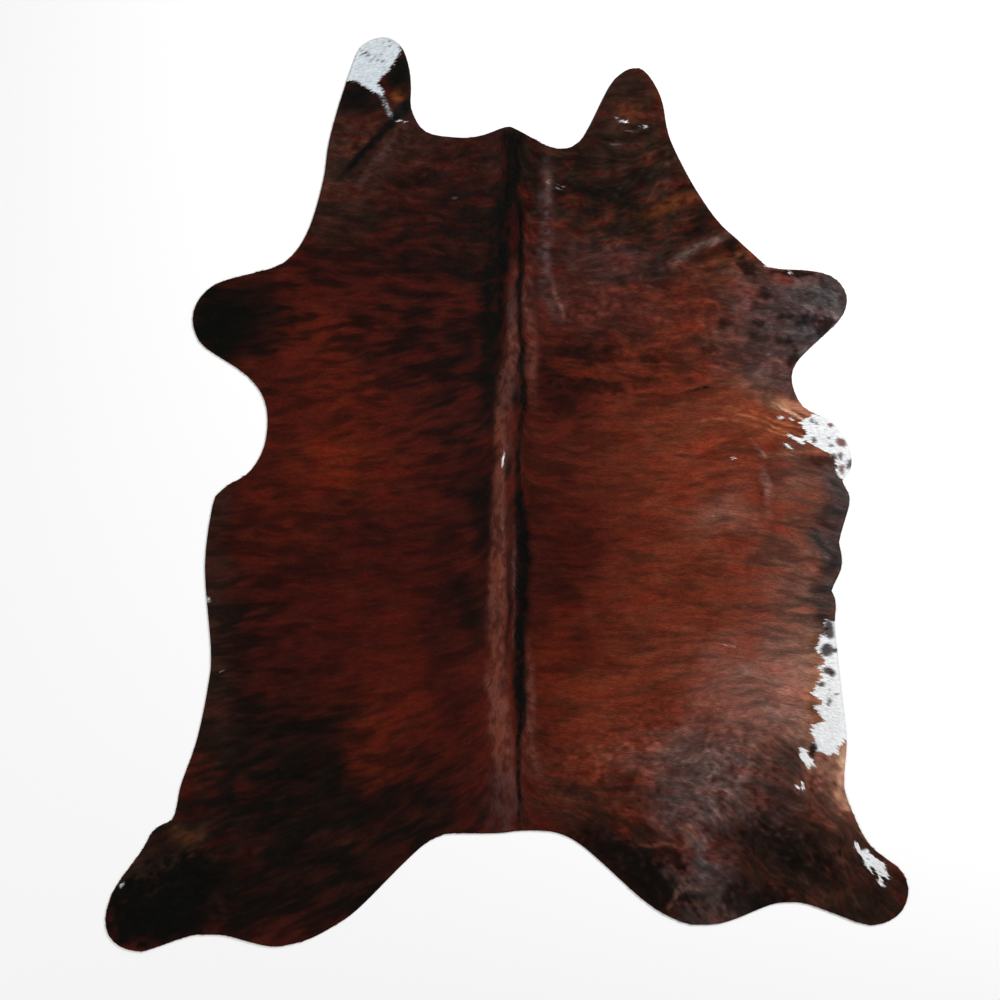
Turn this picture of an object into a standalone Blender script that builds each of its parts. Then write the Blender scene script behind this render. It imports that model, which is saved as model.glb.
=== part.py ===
"""Cowhide rug: one whole hide, tanned with its hair on, lying flat with the hair side up.

Metres. +Z is up, +Y points to the neck, +X to the animal's right side as it lies here, and the
origin is on the floor under the middle of the hide.
"""

import math

import bmesh
import bpy
from mathutils import Vector

# Driving sizes
HIDE_LENGTH = 2.200  # from the left neck flap's tip to the left hind leg's end
LEATHER = 0.0022  # the tanned skin
COAT = 0.0018  # the short hair, lying flat on it
THICKNESS = LEATHER + COAT
RIM_RING = 0.004  # the hair rounds off over this width at the cut edge,
RIM_RISE = 0.45 * THICKNESS  # from this height at the edge itself
RING_RISE = 0.90 * THICKNESS  # to this one inside it
RIM_BAND = 0.014  # plain strip inside the rounding

# Facets
CURVE_STEP = 0.017  # along the cut edge
CELL = 0.072  # on the flat parts
FOLD_SPLITS = 2  # times that the facets are halved where a fold crosses them
SMALLEST_GAP = 1e-5  # a cut this near a point goes through it
SHARP_ANGLE = math.radians(40)

# The cut edge, clockwise as seen from above, in metres from the middle of the hide: (x, y).
# Each stretch ends where the next one starts.
OUTLINE = {
    "left neck flap": [
        (-0.440, 0.762), (-0.428, 0.846), (-0.402, 0.942), (-0.370, 1.036), (-0.354, 1.072),
        (-0.330, 1.092), (-0.298, 1.100), (-0.270, 1.092), (-0.248, 1.068), (-0.234, 1.022),
        (-0.230, 0.978), (-0.230, 0.930), (-0.208, 0.884),
    ],
    "neck edge": [
        (-0.178, 0.866), (-0.136, 0.860), (-0.094, 0.858), (-0.052, 0.866), (-0.002, 0.884),
        (0.024, 0.878), (0.098, 0.838), (0.130, 0.832), (0.156, 0.836), (0.176, 0.850),
    ],
    "right neck flap": [
        (0.198, 0.884), (0.246, 0.980), (0.272, 1.010), (0.296, 1.024), (0.318, 1.026),
        (0.340, 1.010), (0.362, 0.976), (0.376, 0.938), (0.386, 0.880), (0.402, 0.834),
        (0.450, 0.742), (0.506, 0.660), (0.556, 0.612), (0.598, 0.574),
    ],
    "right foreleg": [
        (0.628, 0.548), (0.662, 0.542), (0.706, 0.540), (0.744, 0.536), (0.778, 0.526),
        (0.804, 0.506), (0.818, 0.478), (0.816, 0.448), (0.796, 0.414), (0.724, 0.346),
        (0.696, 0.314), (0.686, 0.284), (0.692, 0.248), (0.712, 0.212),
    ],
    "right elbow": [
        (0.742, 0.194), (0.776, 0.180), (0.802, 0.152), (0.822, 0.118), (0.830, 0.086),
        (0.826, 0.056), (0.808, 0.032),
    ],
    "right flank": [
        (0.822, 0.004), (0.824, -0.026), (0.804, -0.096), (0.800, -0.116), (0.806, -0.148),
        (0.804, -0.182), (0.782, -0.232), (0.790, -0.250), (0.792, -0.278), (0.790, -0.314),
        (0.804, -0.454), (0.818, -0.586), (0.812, -0.682), (0.816, -0.722),
    ],
    "right hind leg": [
        (0.838, -0.778), (0.858, -0.820), (0.884, -0.854), (0.946, -0.902), (0.964, -0.936),
        (0.966, -0.966), (0.952, -1.002), (0.922, -1.026), (0.888, -1.036), (0.850, -1.032),
        (0.730, -0.988), (0.676, -0.982), (0.634, -0.988), (0.550, -1.022),
    ],
    "right haunch": [
        (0.506, -1.034), (0.464, -1.036), (0.422, -1.030), (0.338, -0.984), (0.224, -0.882),
        (0.176, -0.842), (0.136, -0.820),
    ],
    "tail edge": [
        (0.092, -0.810), (0.032, -0.810), (-0.028, -0.816), (-0.132, -0.816), (-0.166, -0.824),
        (-0.200, -0.844),
    ],
    "left haunch": [
        (-0.252, -0.892), (-0.358, -0.998), (-0.414, -1.038), (-0.470, -1.068), (-0.522, -1.084),
        (-0.570, -1.088), (-0.618, -1.078), (-0.678, -1.062), (-0.726, -1.060), (-0.768, -1.064),
    ],
    "left hind leg": [
        (-0.860, -1.096), (-0.892, -1.100), (-0.932, -1.088), (-0.958, -1.062), (-0.966, -1.024),
        (-0.958, -0.984), (-0.938, -0.940), (-0.876, -0.854), (-0.858, -0.820), (-0.836, -0.798),
        (-0.806, -0.784),
    ],
    "left flank": [
        (-0.794, -0.750), (-0.784, -0.700), (-0.746, -0.592), (-0.718, -0.458), (-0.712, -0.374),
        (-0.726, -0.174), (-0.708, -0.028),
    ],
    "left elbow": [
        (-0.692, 0.004), (-0.664, 0.026), (-0.628, 0.046), (-0.602, 0.076), (-0.584, 0.114),
        (-0.576, 0.162), (-0.578, 0.206), (-0.590, 0.242), (-0.612, 0.272),
    ],
    "left foreleg": [
        (-0.644, 0.300), (-0.724, 0.352), (-0.748, 0.384), (-0.756, 0.422), (-0.746, 0.460),
        (-0.720, 0.492), (-0.680, 0.514), (-0.580, 0.540), (-0.542, 0.554), (-0.508, 0.584),
        (-0.482, 0.626), (-0.462, 0.678),
    ],
}

# Folds that lift the hide off the floor. half_width is from the crest to the flat; crest points
# are (x, y, height).
FOLDS = {
    "spine": {
        "half_width": 0.030,
        "crest": [
            (0.010, 0.560, 0.003), (0.010, 0.265, 0.007), (-0.005, 0.190, 0.008),
            (-0.010, 0.085, 0.009), (-0.020, -0.015, 0.008), (-0.015, -0.160, 0.009),
            (-0.025, -0.445, 0.009), (-0.010, -0.710, 0.007), (-0.005, -0.775, 0.003),
        ],
    },
    "spine, far lip": {
        "half_width": 0.026,
        "crest": [
            (0.050, 0.710, 0.002), (0.050, 0.565, 0.006), (0.050, 0.395, 0.006),
            (0.055, 0.225, 0.005), (0.065, 0.105, 0.002),
        ],
    },
    "spine, tail lip": {
        "half_width": 0.026,
        "crest": [
            (0.060, -0.350, 0.002), (0.060, -0.495, 0.005), (0.050, -0.615, 0.006),
            (0.045, -0.735, 0.003),
        ],
    },
    "neck roll": {
        "half_width": 0.026,
        "crest": [
            (0.092, 0.800, 0.003), (0.095, 0.635, 0.010), (0.085, 0.535, 0.009),
            (0.110, 0.485, 0.007), (0.145, 0.405, 0.003),
        ],
    },
    "flap crease, upper": {
        "half_width": 0.030,
        "crest": [(-0.275, 0.925, 0.006), (-0.340, 0.850, 0.008), (-0.395, 0.780, 0.003)],
    },
    "flap crease, lower": {
        "half_width": 0.030,
        "crest": [(-0.245, 0.880, 0.006), (-0.305, 0.805, 0.008), (-0.365, 0.735, 0.003)],
    },
    "shoulder roll": {
        "half_width": 0.026,
        "crest": [
            (0.545, 0.605, 0.008), (0.465, 0.590, 0.008), (0.390, 0.560, 0.006),
            (0.320, 0.540, 0.002),
        ],
    },
    "withers roll": {
        "half_width": 0.024,
        "crest": [(0.450, 0.715, 0.005), (0.395, 0.700, 0.006), (0.345, 0.675, 0.002)],
    },
    "flank ruffle, first": {
        "half_width": 0.038,
        "crest": [(0.825, -0.020, 0.008), (0.745, -0.015, 0.001)],
    },
    "flank ruffle, second": {
        "half_width": 0.036,
        "crest": [(0.806, -0.165, 0.007), (0.735, -0.155, 0.001)],
    },
    "flank ruffle, third": {
        "half_width": 0.032,
        "crest": [(0.792, -0.278, 0.006), (0.730, -0.270, 0.001)],
    },
}

# Coat colour, an average of its red-brown and black hairs
HAIR_COLOR = (0.055, 0.018, 0.010, 1.0)
HAIR_ROUGHNESS = 0.62


def spline_point(before, start, end, after, t):
    """A point between start and end on the Catmull-Rom curve through four points."""
    return 0.5 * (
        2 * start
        + (end - before) * t
        + (2 * before - 5 * start + 4 * end - after) * t**2
        + (3 * start - before - 3 * end + after) * t**3
    )


def cut_edge():
    """The closed cut edge as close, even points on a curve through the outline's own, centred."""
    marks = [Vector(point) for stretch in OUTLINE.values() for point in stretch]
    points = []
    for i, start in enumerate(marks):
        before, end, after = marks[i - 1], marks[(i + 1) % len(marks)], marks[(i + 2) % len(marks)]
        steps = max(1, round((end - start).length / CURVE_STEP))
        points += [spline_point(before, start, end, after, j / steps) for j in range(steps)]
    across = sorted(point.x for point in points)
    along = sorted(point.y for point in points)
    middle = Vector((across[0] + across[-1], along[0] + along[-1])) / 2
    return [point - middle for point in points]


def distance_and_height(point, crest):
    """How far a point lies from a crest line, and the crest's height where it is nearest."""
    nearest = (math.inf, 0.0)
    for (x0, y0, height0), (x1, y1, height1) in zip(crest, crest[1:]):
        start = Vector((x0, y0))
        run = Vector((x1, y1)) - start
        t = min(1.0, max(0.0, (point - start).dot(run) / run.length_squared))
        distance = (point - start - run * t).length
        nearest = min(nearest, (distance, height0 + (height1 - height0) * t))
    return nearest


def lift(point):
    """Height of the hide's underside over the floor: the highest of the folds there."""
    heights = [0.0]
    for fold in FOLDS.values():
        distance, height = distance_and_height(point, fold["crest"])
        if distance < fold["half_width"]:
            heights.append(height * math.cos(0.5 * math.pi * distance / fold["half_width"]) ** 2)
    return max(heights)


def near_a_fold(face):
    """Whether a fold crosses this face."""
    centre = face.calc_center_median().xy
    reach = max((corner.co.xy - centre).length for corner in face.verts)
    return any(
        distance_and_height(centre, fold["crest"])[0] < fold["half_width"] + reach
        for fold in FOLDS.values()
    )


def spans(face, normal, place):
    """Whether a face lies on both sides of the plane at this place along the normal."""
    places = [normal.dot(vert.co) for vert in face.verts]
    return min(places) < place < max(places)


def slice_faces(bm, faces, spacing, offset):
    """Cuts faces along both ways, on lines a spacing apart that start at the offset."""
    count = math.ceil(0.5 * HIDE_LENGTH / spacing)
    for normal in (Vector((1, 0, 0)), Vector((0, 1, 0))):
        for i in range(-count, count):
            place = i * spacing + offset
            crossed = [face for face in faces if spans(face, normal, place)]
            if not crossed:
                continue
            edges = dict.fromkeys(edge for face in crossed for edge in face.edges)
            verts = dict.fromkeys(vert for face in crossed for vert in face.verts)
            cut = bmesh.ops.bisect_plane(
                bm,
                geom=[*crossed, *edges, *verts],
                dist=SMALLEST_GAP,
                plane_co=normal * place,
                plane_no=normal,
            )
            pieces = [item for item in cut["geom"] if isinstance(item, bmesh.types.BMFace)]
            faces = list(dict.fromkeys(faces + pieces))
    return faces


def make_hide():
    """The hide: its outline as one face, cut into facets, thickened upwards and lifted at folds."""
    bm = bmesh.new()
    rise = bm.verts.layers.float.new("rise")
    whole = bm.faces.new([bm.verts.new((*point, 0.0)) for point in cut_edge()])
    for ring_width, ring_rise in ((RIM_RING, RIM_RISE), (RIM_BAND, RING_RISE)):
        for vert in whole.verts:
            vert[rise] = ring_rise
        bmesh.ops.inset_region(bm, faces=[whole], thickness=ring_width, use_even_offset=True)
    for vert in whole.verts:
        vert[rise] = THICKNESS
    inner = slice_faces(bm, [whole], CELL, 0.0)
    for level in range(1, FOLD_SPLITS + 1):
        half_cell = CELL / 2**level
        crossed = [face for face in inner if near_a_fold(face)]
        inner = slice_faces(bm, crossed, 2 * half_cell, half_cell)
    bmesh.ops.triangulate(bm, faces=bm.faces[:])

    top = bmesh.ops.extrude_face_region(bm, geom=bm.faces[:], use_keep_orig=True)
    for vert in (item for item in top["geom"] if isinstance(item, bmesh.types.BMVert)):
        vert.co.z = vert[rise]
    for vert in bm.verts:
        vert.co.z += lift(vert.co.xy)
    bmesh.ops.recalc_face_normals(bm, faces=bm.faces[:])
    mesh = bpy.data.meshes.new("hide")
    bm.to_mesh(mesh)
    bm.free()
    mesh.shade_smooth()
    mesh.set_sharp_from_angle(angle=SHARP_ANGLE)
    return mesh


def hair_material():
    """Short hair-on hide."""
    material = bpy.data.materials.new("hair_on_hide")
    material.use_nodes = True
    shader = material.node_tree.nodes["Principled BSDF"]
    shader.inputs["Base Color"].default_value = HAIR_COLOR
    shader.inputs["Roughness"].default_value = HAIR_ROUGHNESS
    shader.inputs["Metallic"].default_value = 0.0
    return material


for old in list(bpy.data.objects):
    bpy.data.objects.remove(old)

hide = bpy.data.objects.new("hide", make_hide())
hide.data.materials.append(hair_material())
bpy.context.scene.collection.objects.link(hide)
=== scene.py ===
"""Cowhide rug, laid flat: the tanned hide, the short coat that grows on it, and plain studio light."""

import math

import bmesh
import bpy
import numpy as np
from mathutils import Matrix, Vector
from mathutils.bvhtree import BVHTree


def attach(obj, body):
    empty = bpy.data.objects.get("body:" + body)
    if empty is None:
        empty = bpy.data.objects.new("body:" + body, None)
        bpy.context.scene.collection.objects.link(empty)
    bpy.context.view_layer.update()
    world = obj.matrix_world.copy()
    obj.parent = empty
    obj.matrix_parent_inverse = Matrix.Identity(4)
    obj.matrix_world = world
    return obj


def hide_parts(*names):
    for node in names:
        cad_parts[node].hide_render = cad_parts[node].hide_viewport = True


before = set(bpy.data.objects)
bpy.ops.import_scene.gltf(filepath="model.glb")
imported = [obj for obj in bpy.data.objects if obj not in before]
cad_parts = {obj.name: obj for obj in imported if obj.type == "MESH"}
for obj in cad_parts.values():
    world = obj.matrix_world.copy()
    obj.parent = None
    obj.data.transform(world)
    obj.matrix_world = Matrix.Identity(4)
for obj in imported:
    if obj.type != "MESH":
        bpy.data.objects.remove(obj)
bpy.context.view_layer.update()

# --- The hide -------------------------------------------------------------------------------
# One whole skin, tanned and trimmed to this outline. It lies flesh side down, and leaves the
# floor only at the fold along the back, the creases of neck and flaps, and the ruffled flank.

LEATHER = 0.0022
SHEET_CELL = 0.013  # the sheet's facets
CRUMB = 1e-5  # points nearer than this are one
GRAIN = 0.003  # cells of every field that covers the hide, such as its height
HALF_ROOM = (1.02, 1.16)  # half the width and half the length of those fields
FOLD_BLUR = 0.005  # rounds off the facets of the solid's folds
LEAST_COVER = 0.01  # the least share of hide that a height is worked out from
BELOW_FLOOR = -1
UP = Vector((0, 0, 1))
DOWNWARD = -0.7  # normals below this point at the floor
CRISP = math.radians(50)  # edges sharper than this stay sharp
HIDE_FLAT_AREA = 2.69

FIELD_SHAPE = tuple(round(2 * half / GRAIN) for half in HALF_ROOM)
LAST_CELL = 1.001  # places are held this many cells short of a field's far sides


def blurred(field, distance):
    """The field, evened out over a distance in metres."""
    across, along = (np.fft.fftfreq(cells, GRAIN) for cells in field.shape)
    keep = np.exp(-2 * (math.pi * distance) ** 2 * (across[:, None] ** 2 + along[None, :] ** 2))
    return np.fft.ifft2(np.fft.fft2(field) * keep).real.astype(np.float32)


def read(field, x, y):
    """The field's values at these places."""
    u = np.clip((x + HALF_ROOM[0]) / GRAIN, 0, field.shape[0] - LAST_CELL)
    v = np.clip((y + HALF_ROOM[1]) / GRAIN, 0, field.shape[1] - LAST_CELL)
    i, j = u.astype(np.int32), v.astype(np.int32)
    u, v = u - i, v - j
    near = field[i, j] * (1 - u) + field[i + 1, j] * u
    far = field[i, j + 1] * (1 - u) + field[i + 1, j + 1] * u
    return near * (1 - v) + far * v


solid = bmesh.new()
solid.from_mesh(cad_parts["hide"].data)
bmesh.ops.remove_doubles(solid, verts=solid.verts[:], dist=CRUMB)
solid.normal_update()

# How high the underside lies over the floor, and where there is any hide
tree = BVHTree.FromBMesh(solid)
lift = np.zeros(FIELD_SHAPE, np.float32)
cover = np.zeros(FIELD_SHAPE, np.float32)
for column in range(FIELD_SHAPE[0]):
    x = column * GRAIN - HALF_ROOM[0]
    for row in range(FIELD_SHAPE[1]):
        hit = tree.ray_cast(Vector((x, row * GRAIN - HALF_ROOM[1], BELOW_FLOOR)), UP)[0]
        if hit is not None:
            lift[column, row] = hit.z
            cover[column, row] = 1
lift = blurred(lift, FOLD_BLUR) / np.maximum(blurred(cover, FOLD_BLUR), LEAST_COVER)

# The outline as one face, cut into small facets, laid on the folds and given its thickness
bmesh.ops.delete(solid, geom=[f for f in solid.faces if f.normal.z > DOWNWARD], context="FACES")
for vert in solid.verts:
    vert.co.z = 0
bmesh.ops.dissolve_faces(solid, faces=solid.faces[:], use_verts=False)
cut_edge = np.array([vert.co.xy for vert in solid.faces[:][0].verts], np.float32)
for axis, half in zip((Vector((1, 0, 0)), Vector((0, 1, 0))), HALF_ROOM):
    for place in np.arange(-half, half, SHEET_CELL):
        everything = [*solid.verts, *solid.edges, *solid.faces]
        bmesh.ops.bisect_plane(
            solid, geom=everything, dist=CRUMB, plane_co=axis * float(place), plane_no=axis
        )
bmesh.ops.triangulate(solid, faces=solid.faces[:])
ground = np.array([vert.co.xy for vert in solid.verts], np.float32)
for vert, height in zip(solid.verts, read(lift, ground[:, 0], ground[:, 1])):
    vert.co.z = max(0.0, float(height))
grown = bmesh.ops.extrude_face_region(solid, geom=solid.faces[:], use_keep_orig=True)
raised = [item for item in grown["geom"] if isinstance(item, bmesh.types.BMVert)]
bmesh.ops.translate(solid, verts=raised, vec=(0, 0, LEATHER))
bmesh.ops.recalc_face_normals(solid, faces=solid.faces[:])
solid.normal_update()
for face in solid.faces:  # the top is skin, and the rest suede
    face.material_index = int(face.normal.z > -DOWNWARD)
    face.smooth = True
hide_mesh = bpy.data.meshes.new("tanned_hide")
solid.to_mesh(hide_mesh)
solid.free()
hide_mesh.set_sharp_from_angle(angle=CRISP)
hide = bpy.data.objects.new("tanned_hide", hide_mesh)
bpy.context.scene.collection.objects.link(hide)

# --- How the hair lies ----------------------------------------------------------------------
# The hair runs tailwards along the back and turns out and down over both sides. It parts and
# turns on the right haunch. Streaks of colour follow the same lines.

BACK_LINE = ((0.012, 1.10), (0.012, 0.26), (-0.008, 0.10), (-0.018, -0.10), (-0.020, -0.45),
             (-0.005, -0.85))
BACK_REACH = 0.034
WAVE = math.radians(4.5)
WAVE_SPREAD = 0.016
WAVE_SEED = 11
FAR_PULL = 1e-5  # a weak pull that also reaches places far from every entry of the table
FAR_EASE = 0.01

# x, y, where the tips point in degrees from +X, reach
LIE = (
    (-0.3, 0.95, 212, 0.12), (-0.38, 0.72, 163, 0.14), (-0.28, 0.58, 172, 0.14),
    (-0.12, 0.72, 182, 0.14), (-0.12, 0.5, 184, 0.12), (-0.66, 0.42, 186, 0.16),
    (-0.42, 0.38, 186, 0.16), (-0.22, 0.3, 194, 0.12), (-0.1, 0.2, 208, 0.08),
    (-0.1, 0.05, 203, 0.08), (-0.28, 0.12, 192, 0.12), (-0.5, 0.1, 184, 0.14),
    (-0.62, -0.08, 182, 0.14), (-0.38, -0.1, 184, 0.14), (-0.16, -0.12, 192, 0.12),
    (-0.62, -0.32, 182, 0.16), (-0.32, -0.34, 184, 0.14), (-0.13, -0.36, 198, 0.1),
    (-0.6, -0.58, 184, 0.16), (-0.34, -0.58, 198, 0.14), (-0.15, -0.62, 213, 0.12),
    (-0.32, -0.78, 213, 0.14), (-0.58, -0.82, 200, 0.16), (-0.82, -0.95, 214, 0.18),
    (-0.48, -0.98, 208, 0.16), (0.28, 0.92, -4, 0.14), (0.16, 0.74, -2, 0.14),
    (0.36, 0.7, 20, 0.12), (0.2, 0.56, -6, 0.12), (0.46, 0.56, 16, 0.1), (0.7, 0.44, -14, 0.16),
    (0.5, 0.36, -6, 0.14), (0.24, 0.34, -4, 0.14), (0.24, 0.16, 2, 0.12), (0.48, 0.2, 6, 0.1),
    (0.66, 0.22, -16, 0.1), (0.76, 0.16, -30, 0.08), (0.62, 0.06, -8, 0.12), (0.36, 0, -2, 0.14),
    (0.2, -0.2, 0, 0.14), (0.5, -0.18, -3, 0.14), (0.74, -0.1, -14, 0.12), (0.7, -0.34, -6, 0.14),
    (0.3, -0.42, 0, 0.14), (0.52, -0.46, 9, 0.12), (0.72, -0.56, -16, 0.12),
    (0.24, -0.62, -4, 0.12), (0.4, -0.68, 22, 0.07), (0.42, -0.76, -36, 0.07),
    (0.22, -0.78, -12, 0.1), (0.8, -0.7, -72, 0.1), (0.62, -0.74, -28, 0.12),
    (0.5, -0.94, -62, 0.12), (0.7, -0.88, -40, 0.12), (0.9, -0.96, -46, 0.14),
    (0.36, -0.9, -44, 0.12),
)

# Where it curls, so that its colour is mottled: x, y, half width, half length, amount
CURLY = (
    (-0.28, 0.8, 0.24, 0.18, 1.3), (0.1, 0.72, 0.26, 0.16, 1.5), (0.38, 0.74, 0.2, 0.28, 1.7),
    (0.72, 0.4, 0.16, 0.14, 1.4), (0.5, -0.72, 0.3, 0.16, 1.3), (0.72, -0.9, 0.26, 0.14, 1.4),
    (-0.7, -0.8, 0.26, 0.2, 0.8), (-0.45, -0.75, 0.3, 0.14, 0.5), (0.24, -0.72, 0.16, 0.12, 0.8),
    (0.24, 0.44, 0.16, 0.12, 0.7), (0.8, -0.2, 0.06, 0.2, 0.9),
)
CURLY_ELSEWHERE = 0.1
CURL = 1.4  # how much more curly hair waves


def within(x, y, at_x, at_y, half_width, half_length, turn=0):
    """Squared distance from the middle of an oval, 1 on its edge. Its turn is in degrees."""
    cos, sin = math.cos(math.radians(turn)), math.sin(math.radians(turn))
    u = ((x - at_x) * cos + (y - at_y) * sin) / half_width
    v = ((y - at_y) * cos - (x - at_x) * sin) / half_length
    return u * u + v * v


def of_region(table, elsewhere, x, y):
    """An amount that a table gives by region, evened out between them."""
    amount = np.full(x.shape, elsewhere, np.float32)
    for *region, inside_it in table:
        near = np.exp(-within(x, y, *region))
        amount += near * (inside_it - amount)
    return amount


def soft_noise(seed, blur):
    """Noise over the whole hide, evened out over a distance, 0 on average and about 1 deep."""
    made = blurred(np.random.default_rng(seed).standard_normal(FIELD_SHAPE), blur)
    return made / made.std()


def lie_of_hair():
    """Two fields: how far the hair points along x and along y."""
    places = (np.arange(cells) * GRAIN - half for cells, half in zip(FIELD_SHAPE, HALF_ROOM))
    x, y = np.meshgrid(*places, indexing="ij")
    x, y = x.astype(np.float32), y.astype(np.float32)
    pull_x, pull_y = np.zeros_like(x), np.zeros_like(x)
    for at_x, at_y, heading, reach in LIE:
        apart = (x - at_x) ** 2 + (y - at_y) ** 2
        weight = np.exp(-apart / (2 * reach**2)) + FAR_PULL / (apart + FAR_EASE)
        pull_x += weight * math.cos(math.radians(heading))
        pull_y += weight * math.sin(math.radians(heading))
    length = np.hypot(pull_x, pull_y)
    back_x, back_y = zip(*BACK_LINE[::-1])
    on_back = np.exp(-(((x - np.interp(y, back_y, back_x)) / BACK_REACH) ** 2))
    pull_x = pull_x / length * (1 - on_back)
    pull_y = pull_y / length * (1 - on_back) - on_back
    wave = WAVE * (1 + CURL * of_region(CURLY, CURLY_ELSEWHERE, x, y))
    heading = np.arctan2(pull_y, pull_x) + wave * soft_noise(WAVE_SEED, WAVE_SPREAD)
    return np.cos(heading).astype(np.float32), np.sin(heading).astype(np.float32)


lie_x, lie_y = lie_of_hair()


def combed(noise, x, y, reach, step):
    """Noise averaged along the lie of the hair, which draws it out into streaks."""
    total = read(noise, x, y)
    steps = int(reach / step)
    for way in (-step, step):
        at_x, at_y = x, y
        for k in range(1, steps + 1):
            go_x, go_y = read(lie_x, at_x, at_y), read(lie_y, at_x, at_y)
            at_x, at_y = at_x + way * go_x, at_y + way * go_y
            fading = math.cos(0.5 * math.pi * k / (steps + 1)) ** 2
            total = total + read(noise, at_x, at_y) * fading
    return total / total.std()


# --- Colours of the coat --------------------------------------------------------------------
# Brindle: red-brown hair under broken, near-black streaks. The left haunch and legs are nearly
# black, the neck and right haunch a curly grey-brown, and the right side fades to a greyish
# purple-brown at the flank, partly its own colour and partly painted sheen of the light from the
# right. Painted highlight and shade lie along the folds. White hair shows at four places along
# the cut edge.

# Each tone as it looks: red, green and blue, up to 255
TONES = {
    "black": (14, 14, 11),
    "soot": (26, 18, 15),
    "liver": (42, 18, 15),
    "mahogany": (61, 22, 16),
    "chestnut": (86, 32, 17),
    "russet": (92, 41, 28),
    "copper": (116, 56, 38),
    "rust": (104, 56, 28),
    "umber": (52, 36, 29),
    "plum": (72, 50, 47),
    "mauve": (122, 86, 74),
    "ash": (82, 73, 70),
    "dusk": (78, 54, 51),
    "pewter": (126, 127, 126),
    "rose": (104, 60, 50),
    "blush": (150, 108, 98),
    "heather": (86, 67, 65),
    "dove": (146, 120, 112),
    "tan": (160, 110, 84),
    "fawn": (206, 158, 128),
    "slate": (76, 72, 74),
    "amber": (158, 92, 60),
    "milk": (198, 206, 211),
    "white": (234, 236, 238),
}

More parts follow.
